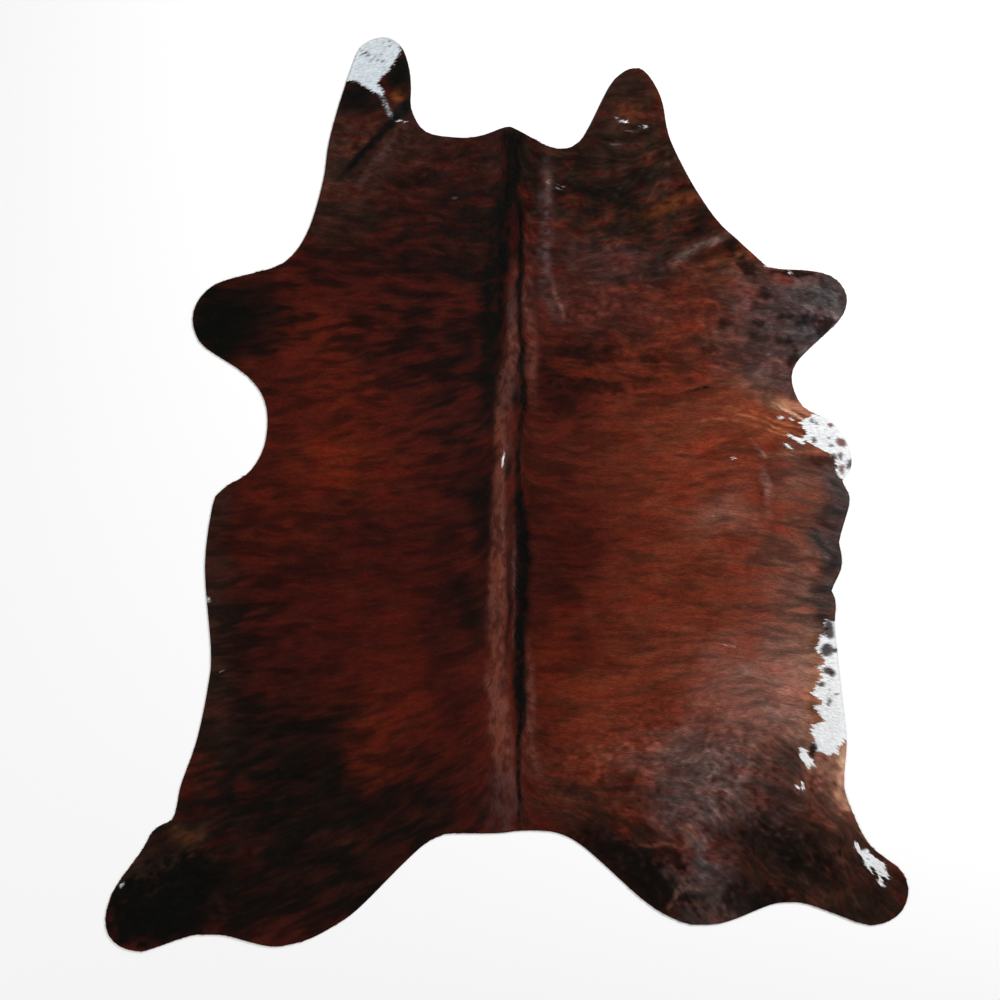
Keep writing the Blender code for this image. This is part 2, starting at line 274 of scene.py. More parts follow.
# x, y, half width, half length, turn in degrees if it has one, tone, strength
PATCHES = (
    # right side, lighter and greyer towards the flank: partly its own colour, partly painted sheen
    (0.62, -0.05, 0.501, 1.204, "russet", 1), (0.47, -0.01, 0.159, 0.217, "copper", 0.35),
    (0.44, 0.16, 0.12, 0.07, "copper", 0.35), (0.22, -0.49, 0.108, 0.12, "copper", 0.45),
    (0.25, -0.63, 0.144, 0.087, "copper", 0.4), (0.82, -0.42, 0.2, 0.4, "mauve", 0.85),
    (0.76, -0.5, 0.072, 0.144, "tan", 0.6), (0.7, -0.52, 0.18, 0.12, "mauve", 0.6),
    (0.47, -0.38, 0.193, 0.11, "copper", 0.45), (0.81, -0.04, 0.063, 0.135, "umber", 0.8),
    (0.73, 0.06, 0.063, 0.087, "mauve", 0.3), (0.8, -0.18, 0.051, 0.193, "umber", 0.85),
    (0.57, 0.35, 0.101, 0.058, "mauve", 0.3), (0.59, 0.26, 0.063, 0.048, "tan", 0.35),
    (0.5, -0.66, 0.19, 0.082, -8, "heather", 0.5), (0.42, -0.63, 0.1, 0.055, "mauve", 0.35),
    (0.49, -0.64, 0.11, 0.05, "slate", 0.4), (0.46, -0.74, 0.11, 0.07, 20, "slate", 0.5),
    (0.55, -0.76, 0.058, 0.053, "mauve", 0.45), (0.61, -0.47, 0.144, 0.111, "blush", 0.3),
    (0.77, -0.47, 0.053, 0.096, "tan", 0.5), (0.8, -0.06, 0.043, 0.217, "slate", 0.45),
    (0.14, -0.4, 0.101, 0.159, "chestnut", 0.6), (0.1, -0.16, 0.101, 0.217, "liver", 0.65),
    (0.16, -0.1, 0.12, 0.14, "mahogany", 0.5), (0.52, 0.2, 0.063, 0.038, "umber", 0.35),
    (0.52, -0.05, 0.072, 0.058, "mauve", 0.35), (0.16, 0.3, 0.058, 0.048, "chestnut", 0.35),
    (0.2, -0.76, 0.106, 0.038, -14, "copper", 0.35), (0.77, -0.49, 0.034, 0.106, "tan", 0.6),
    (0.16, -0.16, 0.053, 0.063, "mahogany", 0.35),
    # chest, right of the back
    (0.11, 0.25, 0.096, 0.072, "liver", 0.8), (0.21, 0.35, 0.082, 0.053, "liver", 0.5),
    (0.49, 0.33, 0.038, 0.014, 5, "soot", 0.55), (0.58, 0.3, 0.053, 0.017, 8, "soot", 0.6),
    # neck and right shoulder
    (-0.3, 0.8, 0.219, 0.14, "umber", 0.8), (-0.12, 0.74, 0.2, 0.12, "liver", 0.85),
    (0.2, 0.8, 0.18, 0.14, "umber", 0.9), (0.14, 0.83, 0.149, 0.067, "soot", 0.65),
    (0.16, 0.7, 0.12, 0.06, "soot", 0.6), (0.36, 0.8, 0.14, 0.159, "umber", 0.7),
    (0.34, 0.66, 0.159, 0.101, 20, "umber", 0.75), (0.42, 0.6, 0.101, 0.041, 25, "soot", 0.75),
    (0.5, 0.62, 0.089, 0.029, -40, "soot", 0.9), (0.45, 0.56, 0.063, 0.034, 20, "umber", 0.6),
    (0.24, 0.56, 0.14, 0.06, "plum", 0.6), (0.22, 0.44, 0.159, 0.072, "plum", 0.35),
    (0.57, 0.54, 0.101, 0.053, -10, "rust", 0.4),
    # neck flaps
    (-0.36, 0.95, 0.067, 0.041, "soot", 0.95), (-0.25, 1.01, 0.048, 0.048, "soot", 0.95),
    (-0.25, 0.93, 0.034, 0.019, 40, "black", 0.8), (-0.26, 0.96, 0.026, 0.019, 30, "umber", 0.6),
    (-0.25, 0.96, 0.018, 0.014, 30, "rust", 0.35), (0.27, 0.96, 0.082, 0.087, "umber", 0.95),
    (0.27, 0.98, 0.07, 0.06, "soot", 0.35), (0.31, 0.91, 0.022, 0.022, "rust", 0.4),
    # chest and right shoulder
    (0.05, 0.44, 0.053, 0.053, "liver", 0.5), (0.28, 0.44, 0.063, 0.058, "soot", 0.3),
    (0.47, 0.55, 0.096, 0.053, "umber", 0.45), (0.39, 0.56, 0.053, 0.043, "soot", 0.3),
    # right foreleg
    (0.75, 0.42, 0.12, 0.13, "slate", 0.95), (0.62, 0.42, 0.12, 0.12, "plum", 0.7),
    (0.68, 0.3, 0.079, 0.079, "plum", 0.6), (0.7, 0.35, 0.053, 0.04, 20, "soot", 0.35),
    (0.81, 0.44, 0.014, 0.067, "black", 0.6), (0.75, 0.46, 0.072, 0.072, "ash", 0.5),
    (0.65, 0.31, 0.072, 0.058, "heather", 0.5), (0.59, 0.47, 0.063, 0.082, "heather", 0.35),
    (0.7, 0.39, 0.038, 0.034, "slate", 0.5),
    # right elbow
    (0.7, 0.216, 0.056, 0.024, -32, "tan", 0.95), (0.61, 0.18, 0.096, 0.029, -18, "copper", 0.8),
    # left side, from neck to rump
    (-0.45, 0.38, 0.12, 0.079, "chestnut", 0.35), (-0.42, 0.08, 0.159, 0.089, "chestnut", 0.75),
    (-0.52, -0.07, 0.111, 0.067, "chestnut", 0.4), (-0.38, 0.24, 0.14, 0.07, "chestnut", 0.35),
    (-0.34, -0.57, 0.077, 0.067, "chestnut", 0.5), (-0.28, -0.47, 0.082, 0.111, "chestnut", 0.4),
    (-0.43, -0.54, 0.096, 0.072, "chestnut", 0.2), (-0.14, 0.34, 0.14, 0.18, "liver", 0.8),
    (-0.24, 0.26, 0.082, 0.106, "liver", 0.5), (-0.33, 0.35, 0.087, 0.053, "liver", 0.45),
    (-0.26, 0.58, 0.202, 0.063, "liver", 0.65), (-0.11, 0.62, 0.063, 0.106, "soot", 0.7),
    (-0.1, 0.05, 0.079, 0.2, "liver", 0.8), (-0.13, -0.26, 0.079, 0.12, "liver", 0.75),
    (-0.14, -0.47, 0.063, 0.101, "liver", 0.5), (-0.33, -0.12, 0.241, 0.101, "liver", 0.4),
    (-0.44, 0.62, 0.079, 0.06, 40, "liver", 0.6), (-0.3, 0.5, 0.2, 0.079, "liver", 0.35),
    (-0.62, 0.35, 0.072, 0.053, "liver", 0.5), (-0.52, -0.23, 0.111, 0.058, "liver", 0.45),
    (-0.66, 0.05, 0.053, 0.043, "liver", 0.5), (-0.11, -0.76, 0.087, 0.038, -10, "liver", 0.65),
    (-0.2, 0.55, 0.096, 0.058, "soot", 0.45), (-0.38, -0.4, 0.193, 0.111, "mahogany", 0.4),
    (-0.55, 0.08, 0.058, 0.053, "liver", 0.45), (-0.09, 0.56, 0.063, 0.072, "soot", 0.45),
    (-0.32, 0.44, 0.067, 0.053, "liver", 0.35),
    # left flank, haunch and leg
    (-0.7, -0.1, 0.06, 0.301, "liver", 0.7), (-0.68, -0.42, 0.101, 0.2, "soot", 0.7),
    (-0.52, -0.44, 0.14, 0.12, "liver", 0.6), (-0.58, -0.62, 0.219, 0.12, "soot", 0.85),
    (-0.46, -0.66, 0.18, 0.101, "black", 0.75), (-0.44, -0.78, 0.26, 0.101, 10, "black", 0.9),
    (-0.62, -0.9, 0.361, 0.18, "soot", 0.95), (-0.2, -0.78, 0.14, 0.07, 30, "soot", 0.8),
    (-0.32, -0.65, 0.058, 0.053, "chestnut", 0.55), (-0.84, -0.98, 0.13, 0.11, "black", 0.95),
    (-0.3, -0.94, 0.14, 0.101, "soot", 0.8), (-0.78, -0.81, 0.053, 0.038, "umber", 0.95),
    (-0.78, -0.81, 0.038, 0.026, "rust", 0.35), (-0.63, -0.9, 0.038, 0.048, "liver", 0.7),
    (-0.71, -0.11, 0.043, 0.265, "umber", 0.45), (-0.7, -0.45, 0.058, 0.217, "umber", 0.4),
    (-0.91, -0.91, 0.043, 0.063, "umber", 0.7), (-0.83, -0.86, 0.063, 0.048, "umber", 0.4),
    # left neck flap and that side of the neck
    (-0.38, 0.98, 0.038, 0.022, "black", 0.85), (-0.26, 1, 0.034, 0.034, "black", 0.85),
    (-0.27, 0.96, 0.029, 0.017, 30, "rust", 0.6), (-0.43, 0.78, 0.063, 0.111, "umber", 0.55),
    (-0.4, 0.65, 0.096, 0.053, "umber", 0.3),
    # left foreleg
    (-0.7, 0.42, 0.13, 0.12, "black", 1), (-0.6, 0.44, 0.079, 0.089, "black", 0.75),
    # right haunch and leg
    (0.26, -0.86, 0.159, 0.07, -40, "soot", 0.85), (0.36, -0.94, 0.12, 0.07, -40, "soot", 0.9),
    (0.2, -0.74, 0.14, 0.06, "umber", 0.45), (0.7, -0.9, 0.219, 0.12, -20, "umber", 0.85),
    (0.66, -0.82, 0.12, 0.06, "soot", 0.6), (0.62, -0.9, 0.106, 0.058, "soot", 0.75),
    (0.82, -0.84, 0.072, 0.067, -45, "umber", 0.9), (0.9, -0.98, 0.12, 0.089, -30, "soot", 0.75),
    (0.48, -0.91, 0.072, 0.08, "plum", 0.9), (0.43, -0.99, 0.07, 0.036, "soot", 0.3),
    (0.82, -0.66, 0.026, 0.07, -4, "fawn", 0.75), (0.65, -0.66, 0.067, 0.058, "umber", 0.6),
    (0.73, -0.78, 0.058, 0.058, "umber", 0.65), (0.75, -0.52, 0.019, 0.053, "rust", 0.7),
    (0.47, -0.93, 0.063, 0.053, "ash", 0.4), (0.63, -0.97, 0.082, 0.053, "soot", 0.8),
    (0.3, -0.87, 0.063, 0.048, "umber", 0.55), (0.51, -1, 0.077, 0.048, "ash", 0.5),
    (0.65, -0.89, 0.063, 0.053, "umber", 0.45), (0.9, -0.99, 0.067, 0.063, "umber", 0.5),
    (0.41, -0.77, 0.063, 0.063, "mauve", 0.18), (0.45, -0.83, 0.022, 0.022, "mauve", 0.5),
    (0.48, -0.87, 0.026, 0.038, "slate", 0.5), (0.52, -0.76, 0.072, 0.063, "heather", 0.45),
    (0.47, -0.64, 0.12, 0.063, "mauve", 0.25), (0.65, -0.77, 0.063, 0.058, "plum", 0.5),
    # back
    (-0.04, 0.2, 0.029, 0.241, "black", 0.75), (-0.07, -0.05, 0.031, 0.106, "black", 0.8),
    (-0.08, -0.28, 0.038, 0.082, "black", 0.75),
)

# x, y, half width, half length, share of dark streaks
BRINDLE = (
    (-0.35, 0.42, 0.3, 0.16, 0.95), (-0.12, 0.3, 0.12, 0.3, 1), (-0.25, 0.64, 0.3, 0.14, 0.8),
    (-0.35, 0.05, 0.3, 0.2, 0.55), (-0.35, -0.38, 0.28, 0.22, 0.18), (-0.66, -0.4, 0.14, 0.3, 0.8),
    (-0.3, -0.76, 0.3, 0.15, 0.8), (-0.6, -0.9, 0.4, 0.2, 0.8), (0.25, 0.7, 0.3, 0.2, 1.1),
    (0.22, 0.28, 0.2, 0.1, 0.9), (0.5, 0.4, 0.25, 0.12, 0.6), (0.4, 0.1, 0.3, 0.12, 0.6),
    (0.45, -0.15, 0.35, 0.2, 0.35), (0.25, -0.1, 0.2, 0.2, 0.4), (0.35, -0.45, 0.3, 0.14, 0.4),
    (0.45, -0.7, 0.3, 0.1, 0.65), (0.7, -0.88, 0.3, 0.14, 0.8), (0.74, -0.2, 0.14, 0.2, 0.7),
    (0.69, 0.21, 0.07, 0.04, 0),
)
BRINDLE_ELSEWHERE = 0.45

# Noise that makes the coat uneven: seed, and the distance over which it is evened out
NOISE = {
    "broad": (31, 0.0088), "middle": (32, 0.0044), "thin": (33, 0.002),
    "blotch": (34, 0.012), "mottle": (36, 0.005), "fleck": (38, 0.0026),
    "warm": (37, 0.006), "drift x": (21, 0.02), "drift y": (22, 0.02),
}
# The kinds that are streaks: how far they are drawn out along the hair, and in what steps
STREAKS = {
    "broad": (0.075, 0.007), "middle": (0.048, 0.005), "thin": (0.024, 0.004),
    "warm": (0.032, 0.008),
}
noises = {name: soft_noise(seed, blur) for name, (seed, blur) in NOISE.items()}
DRIFT = 0.012  # how far the edges of patches wander
WARMTH = np.array((0.05, -0.04, -0.06), np.float32)  # how warmer hair differs in red, green, blue
PATCH_FALL, PATCH_EDGE = 0.8, 1.5  # how fast a patch fades, and how crisp its edge is
BRINDLE_DEPTH = 0.8
UNDER_BRINDLE = 0.3  # how much brighter the hair is between dark streaks
STREAK_EDGE = (-0.3, 1.7)  # a place is plain below the first in the noise, dark above the second,
STREAK_SHIFT = 0.9  # and both are so much lower where brindle is full
# Where the hair curls, edges of patches are more ragged, and streaks weaker, by these shares
CURL_RAGGED, CURL_BROKEN = 0.45, 0.45
# Strength of the noise where hair lies straight, and how much more it is where hair curls
BLOTCHED, MOTTLED, FLECKED = (0.25, 0.15), (0.03, 0.17), (0.03, 0.28)

# Near-black blotches with crisp edges: x, y, half width, half length, turn if any, strength
MARKS = (
    (0.296, -0.904, 0.125, 0.046, -33, 0.8), (0.349, -0.866, 0.058, 0.022, -8, 0.7),
    (0.585, -0.988, 0.096, 0.038, -8, 0.7), (0.665, -0.844, 0.082, 0.038, -14, 0.65),
    (0.742, -0.899, 0.063, 0.029, -20, 0.6), (0.616, -0.789, 0.029, 0.024, 0.6),
    (0.768, 0.504, 0.019, 0.014, -20, 0.6), (0.734, 0.482, 0.012, 0.01, 0.55),
    (0.621, 0.482, 0.014, 0.014, 0.7), (0.612, 0.451, 0.022, 0.01, 0.6),
    (0.669, 0.429, 0.014, 0.01, 0.6), (0.713, 0.413, 0.022, 0.014, 20, 0.65),
    (0.763, 0.398, 0.022, 0.012, 50, 0.7), (0.616, 0.381, 0.019, 0.012, 0.55),
    (0.665, 0.376, 0.017, 0.012, 0.55), (0.607, 0.413, 0.012, 0.01, 0.6),
    (0.523, 0.413, 0.014, 0.01, 0.6), (0.489, 0.35, 0.019, 0.01, 0.65),
    (0.453, 0.376, 0.012, 0.007, 0.5), (0.352, 0.328, 0.029, 0.01, 0.6),
    (0.691, 0.328, 0.012, 0.017, -20, 0.6), (0.364, 0.28, 0.019, 0.014, 0.45),
    (0.686, 0.533, 0.043, 0.007, -4, 0.85), (0.576, 0.555, 0.034, 0.014, -40, 0.8),
    (0.549, 0.588, 0.029, 0.014, -40, 0.75), (0.2, 0.262, 0.07, 0.014, -3, 0.68),
    (0.14, 0.212, 0.026, 0.022, 0.6), (0.205, 0.338, 0.036, 0.019, 0.6),
    (0.128, 0.348, 0.019, 0.014, 0.45), (0.253, 0.343, 0.022, 0.012, 0.5),
    (0.056, 0.324, 0.014, 0.01, 0.4), (0.754, 0.08, 0.031, 0.01, -8, 0.65),
    (-0.252, 1.007, 0.029, 0.038, 0.8), (-0.358, 0.957, 0.043, 0.022, 20, 0.85),
    (-0.233, 0.93, 0.022, 0.014, 30, 0.8), (-0.823, -0.988, 0.111, 0.087, 20, 0.95),
    (-0.907, -1.005, 0.063, 0.058, 40, 0.9), (-0.751, -0.909, 0.063, 0.038, 0.8),
    (0.128, 0.376, 0.019, 0.01, 0.35),
)

MARK_EDGE = (2.2, 0.2)  # where a mark ends, and where it is full

# Lines on the fold along the back, its groove, and the creases: mostly painted highlight where
# folds and rolls catch the light and painted shade in the groove and creases; the rest, as at the
# haunch, are streaks in the hair's own colour.
# Tone, then x, y, half width and strength of each point
STROKES = (
    # crest of the fold: painted highlight, partly also the paler hair there
    ("rose", (
        (0.012, 0.559, 0.0096, 0.15), (0.012, 0.504, 0.0108, 0.05), (0.012, 0.42, 0.0115, 0.28),
        (0.011, 0.348, 0.0168, 0.75), (0, 0.275, 0.0181, 0.45), (-0.012, 0.203, 0.0172, 0.55),
        (-0.013, 0.131, 0.0168, 0.6), (-0.019, 0.059, 0.0144, 0.6), (-0.021, -0.013, 0.0156, 0.6),
        (-0.021, -0.11, 0.0168, 0.55), (-0.02, -0.194, 0.0193, 0.85), (-0.024, -0.278, 0.018, 0.6),
        (-0.023, -0.375, 0.016, 0.75), (-0.019, -0.427, 0.0168, 0.85),
        (-0.017, -0.471, 0.0181, 0.5), (-0.021, -0.519, 0.0229, 0.95),
        (-0.017, -0.596, 0.0265, 0.8), (0, -0.651, 0.0337, 0.5), (-0.005, -0.699, 0.0337, 0.25),
        (-0.005, -0.789, 0.0409, 0.05),
    )),
    ("copper", (
        (-0.014, 0.239, 0.012, 0.05), (-0.017, 0.155, 0.0144, 0.3), (-0.021, 0.059, 0.012, 0.25),
        (-0.021, -0.062, 0.012, 0.25), (-0.024, -0.182, 0.0144, 0.35),
        (-0.024, -0.375, 0.0144, 0.5), (-0.019, -0.524, 0.0168, 0.55),
        (-0.017, -0.603, 0.0193, 0.4), (-0.005, -0.663, 0.0217, 0.05),
    )),
    ("dusk", (
        (0.01, 0.535, 0.0096, 0.3), (0.01, 0.42, 0.012, 0.4), (0.013, 0.36, 0.012, 0.1),
        (0.003, 0.275, 0.0168, 0.3), (-0.012, 0.203, 0.0172, 0.3), (-0.009, 0.136, 0.0168, 0.1),
        (-0.017, 0.035, 0.012, 0.2), (-0.021, -0.062, 0.0156, 0.35), (-0.024, -0.187, 0.0181, 0),
        (-0.029, -0.278, 0.0181, 0.4), (-0.026, -0.375, 0.0181, 0.2),
        (-0.019, -0.427, 0.0181, 0.05), (-0.014, -0.464, 0.0181, 0.45),
        (-0.019, -0.502, 0.0193, 0.05), (-0.017, -0.603, 0.0193, 0.1),
        (-0.002, -0.668, 0.0337, 0.25), (-0.005, -0.712, 0.0409, 0.35),
        (-0.005, -0.793, 0.0457, 0.35),
    )),
    # neck shadow
    ("black", (
        (0.017, 0.863, 0.0241, 0.98), (0.007, 0.733, 0.0265, 1.03), (-0.019, 0.636, 0.0337, 1.09),
        (-0.034, 0.492, 0.034, 1.09), (-0.038, 0.396, 0.026, 0.95), (-0.043, 0.324, 0.022, 0.85),
        (-0.046, 0.227, 0.018, 0.4),
    )),
    # groove: painted shade in it, and painted highlight on the low ridge to its right
    ("black", (
        (0.027, 0.697, 0.012, 1.08), (0.034, 0.66, 0.0058, 1.01), (0.032, 0.516, 0.0063, 1.08),
        (0.034, 0.396, 0.0063, 1.08), (0.036, 0.304, 0.0096, 1.22), (0.039, 0.239, 0.0096, 1.15),
        (0.034, 0.167, 0.0072, 0.61), (0.024, 0.078, 0.0072, 0.81), (0.029, 0.015, 0.0096, 1.08),
        (0.034, -0.038, 0.0144, 1.22), (0.039, -0.158, 0.0193, 1.24), (0.036, -0.302, 0.0168, 1.22),
        (0.032, -0.379, 0.0144, 1.01), (0.032, -0.471, 0.0168, 1.35), (0.034, -0.531, 0.0144, 1.22),
        (0.029, -0.596, 0.0072, 0.88), (0.027, -0.687, 0.0063, 0.81), (0.029, -0.813, 0.0063, 0.68),
    )),
    ("liver", (
        (0.019, 0.697, 0.0063, 0.5), (0.022, 0.636, 0.0063, 0.6), (0.022, 0.569, 0.0053, 0.4),
    )),
    ("rose", (
        (0.051, 0.673, 0.0072, 0.15), (0.051, 0.54, 0.0096, 0.28), (0.048, 0.468, 0.0108, 0.48),
        (0.056, 0.396, 0.0144, 0.5), (0.058, 0.299, 0.0144, 0.5), (0.058, 0.215, 0.012, 0.15),
    )),
    ("plum", (
        (0.015, -0.076, 0.0029, 0.3), (0.016, -0.158, 0.0036, 0.8), (0.016, -0.254, 0.0036, 0.75),
        (0.016, -0.37, 0.0029, 0.35),
    )),
    ("rose", (
        (0.053, -0.341, 0.0072, 0.1), (0.056, -0.447, 0.0096, 0.5), (0.056, -0.543, 0.012, 0.65),
        (0.051, -0.603, 0.0144, 0.55), (0.063, -0.651, 0.0241, 0.35), (0.099, -0.671, 0.0337, 0.1),
    )),
    # fine lines on the crest; the rosy ones are painted highlight
    ("blush", (
        (-0.012, -0.06, 0.0014, 0.1), (-0.011, -0.09, 0.0016, 0.35), (-0.007, -0.129, 0.0014, 0.2),
    )),
    ("black", (
        (0.005, -0.148, 0.0039, 0.3), (0.005, -0.254, 0.0048, 0.7), (0.003, -0.35, 0.0043, 0.6),
        (0, -0.418, 0.0036, 0.2),
    )),
    ("rose", (
        (-0.029, -0.187, 0.012, 0.1), (-0.031, -0.22, 0.0132, 0.55), (-0.031, -0.254, 0.012, 0.1),
    )),
    ("rose", (
        (-0.043, -0.399, 0.0108, 0.1), (-0.036, -0.466, 0.0144, 0.7), (-0.017, -0.524, 0.0144, 0.7),
        (-0.021, -0.562, 0.012, 0.4), (-0.031, -0.601, 0.0096, 0.1),
    )),
    ("black", (
        (-0.026, -0.269, 0.0053, 0.1), (-0.019, -0.298, 0.0077, 0.6), (-0.024, -0.331, 0.0063, 0.2),
    )),
    ("black", (
        (-0.012, -0.418, 0.006, 0.1), (-0.007, -0.452, 0.0096, 0.65), (-0.009, -0.48, 0.006, 0.1),
    )),
    # neck roll: painted sheen where it catches the light
    ("heather", (
        (0.094, 0.834, 0.0108, 0.05), (0.094, 0.781, 0.0144, 0.25), (0.095, 0.709, 0.0156, 0.48),
        (0.092, 0.612, 0.0144, 0.55), (0.088, 0.528, 0.0144, 0.5), (0.097, 0.478, 0.0144, 0.38),
        (0.113, 0.439, 0.012, 0.25), (0.135, 0.401, 0.0096, 0.05),
    )),
    ("mauve", (
        (0.094, 0.793, 0.0096, 0.05), (0.094, 0.752, 0.0108, 0.25), (0.094, 0.718, 0.0096, 0.05),
    )),
    ("mauve", (
        (0.109, 0.516, 0.0048, 0.1), (0.118, 0.482, 0.0053, 0.5), (0.128, 0.453, 0.0053, 0.6),
        (0.14, 0.42, 0.0048, 0.15),
    )),
    ("plum", (
        (0.154, 0.528, 0.0096, 0.15), (0.162, 0.588, 0.012, 0.35), (0.152, 0.636, 0.0096, 0.1),
    )),
    # left flap: the crease on it, its black line painted shade
    ("black", (
        (-0.228, 0.954, 0.012, 1.2), (-0.245, 0.935, 0.0132, 1.5), (-0.272, 0.904, 0.012, 1.5),
        (-0.301, 0.87, 0.0106, 1.5), (-0.334, 0.834, 0.0096, 1.5), (-0.366, 0.802, 0.0082, 1.4),
        (-0.39, 0.776, 0.0058, 0.9), (-0.411, 0.754, 0.0043, 0.3),
    )),
    ("milk", (
        (-0.309, 0.971, 0.0043, 1.2), (-0.298, 0.954, 0.0024, 0.95), (-0.291, 0.935, 0.0019, 0.8),
        (-0.287, 0.918, 0.0031, 1), (-0.279, 0.905, 0.0017, 0.6),
    )),
    ("dusk", (
        (-0.252, 0.892, 0.0072, 0.15), (-0.291, 0.829, 0.0108, 0.55), (-0.325, 0.786, 0.0108, 0.5),
        (-0.373, 0.718, 0.0096, 0.05),
    )),
    ("umber", (
        (-0.262, 0.858, 0.0084, 0.2), (-0.281, 0.805, 0.0108, 0.6), (-0.315, 0.747, 0.0108, 0.5),
        (-0.344, 0.699, 0.0096, 0.1),
    )),
    # shoulder roll: painted highlight along its top, painted shadow below it
    ("dove", (
        (0.537, 0.629, 0.008, 0.32), (0.503, 0.61, 0.011, 0.3), (0.46, 0.593, 0.0125, 0.23),
        (0.421, 0.571, 0.013, 0.16), (0.378, 0.543, 0.01, 0.05),
    )),
    ("black", (
        (0.549, 0.61, 0.0108, 0.6), (0.498, 0.583, 0.012, 0.45), (0.446, 0.557, 0.012, 0.15),
    )),
    # withers
    ("rust", (
        (0.47, 0.725, 0.0144, 0.2), (0.417, 0.709, 0.0168, 0.45), (0.369, 0.689, 0.0168, 0.45),
        (0.323, 0.663, 0.0144, 0.1),
    )),
    # flank fold: painted highlight along it, painted shade beside it
    ("blush", (
        (0.612, 0.064, 0.0096, 0.15), (0.622, 0.035, 0.0132, 0.35), (0.63, 0.003, 0.012, 0.45),
        (0.632, -0.028, 0.0096, 0.25), (0.628, -0.062, 0.0072, 0.05),
    )),
    ("liver", (
        (0.6, 0.044, 0.0084, 0.1), (0.609, 0.006, 0.0096, 0.5), (0.614, -0.033, 0.0084, 0.1),
    )),
    # elbow
    ("dove", (
        (0.583, 0.138, 0.0036, 0.1), (0.602, 0.114, 0.0036, 0.55), (0.621, 0.09, 0.0029, 0.3),
    )),
    ("chestnut", (
        (0.645, 0.222, 0.0048, 0.4), (0.677, 0.196, 0.0048, 0.7), (0.715, 0.181, 0.0048, 0.4),
    )),
    ("amber", (
        (0.549, 0.196, 0.0031, 0.4), (0.58, 0.189, 0.0034, 0.8), (0.621, 0.174, 0.0036, 0.8),
        (0.681, 0.15, 0.0031, 0.6),
    )),
    ("amber", (
        (0.561, 0.177, 0.0029, 0.3), (0.614, 0.162, 0.0031, 0.7), (0.693, 0.138, 0.0029, 0.55),
    )),
    ("amber", (
        (0.585, 0.201, 0.0029, 0.4), (0.645, 0.179, 0.0031, 0.75), (0.705, 0.16, 0.0029, 0.6),
    )),
    ("amber", (
        (0.431, 0.167, 0.0039, 0.15), (0.494, 0.184, 0.0043, 0.45), (0.561, 0.179, 0.0034, 0.3),
    )),
    ("fawn", (
        (0.645, 0.222, 0.0029, 0.3), (0.677, 0.201, 0.0039, 0.9), (0.708, 0.181, 0.0039, 0.85),
    )),
    ("amber", (
        (0.66, 0.107, 0.0031, 0.3), (0.705, 0.1, 0.0034, 0.7), (0.763, 0.107, 0.0029, 0.4),
    )),
    ("soot", (
        (0.426, 0.246, 0.0036, 0.3), (0.474, 0.256, 0.0048, 0.75), (0.532, 0.275, 0.0034, 0.4),
    )),
    # haunch
    ("rose", (
        (0.32, -0.844, 0.0036, 0.4), (0.349, -0.846, 0.0043, 0.55), (0.376, -0.839, 0.0043, 0.75),
        (0.4, -0.844, 0.0039, 0.7), (0.419, -0.854, 0.0031, 0.25),
    )),
    ("soot", (
        (0.409, -0.967, 0.0058, 0.5), (0.441, -0.967, 0.0067, 0.75), (0.474, -0.969, 0.0058, 0.6),
        (0.503, -0.959, 0.0048, 0.2),
    )),
    ("mauve", (
        (0.441, -0.923, 0.0031, 0.2), (0.421, -0.938, 0.0039, 0.45), (0.409, -0.957, 0.0039, 0.45),
        (0.402, -0.979, 0.0036, 0.35), (0.388, -0.998, 0.0031, 0.15),
    )),
    ("mauve", (
        (0.412, -0.955, 0.0031, 0.3), (0.436, -0.947, 0.0039, 0.7), (0.46, -0.95, 0.0036, 0.7),
        (0.484, -0.952, 0.0029, 0.2),
    )),
    ("rose", (
        (0.393, -0.986, 0.0029, 0.3), (0.421, -0.984, 0.0034, 0.6), (0.45, -0.988, 0.0029, 0.3),
        (0.479, -0.984, 0.0031, 0.45),
    )),
)

STROKE_WAVER = (0.002, 0.0012)
CLOSED, BROKEN = (0.7, 1.5), (0.35, 1.6)  # how far black and other strokes vary in strength

# Long pale hairs: x, y, half width, half length, turn, tone, strength
STRANDS = (
    (0.635, 0.177, 0.12, 0.026, -18, "amber", 0.75), (0.72, 0.15, 0.06, 0.02, -25, "amber", 0.8),
    (0.705, 0.205, 0.04, 0.014, -30, "fawn", 0.5), (0.5, 0.165, 0.16, 0.03, -4, "copper", 0.5),
    (0.7, 0.098, 0.08, 0.008, 4, "tan", 0.55), (0.7, 0, 0.08, 0.016, -8, "tan", 0.25),
    (0.812, -0.66, 0.02, 0.06, -3, "fawn", 0.75), (0.85, -0.79, 0.018, 0.07, 35, "tan", 0.6),
)

STRAND_RISE = (-0.2, 1.8)  # no hairs are pale below the first in the noise, all above the second

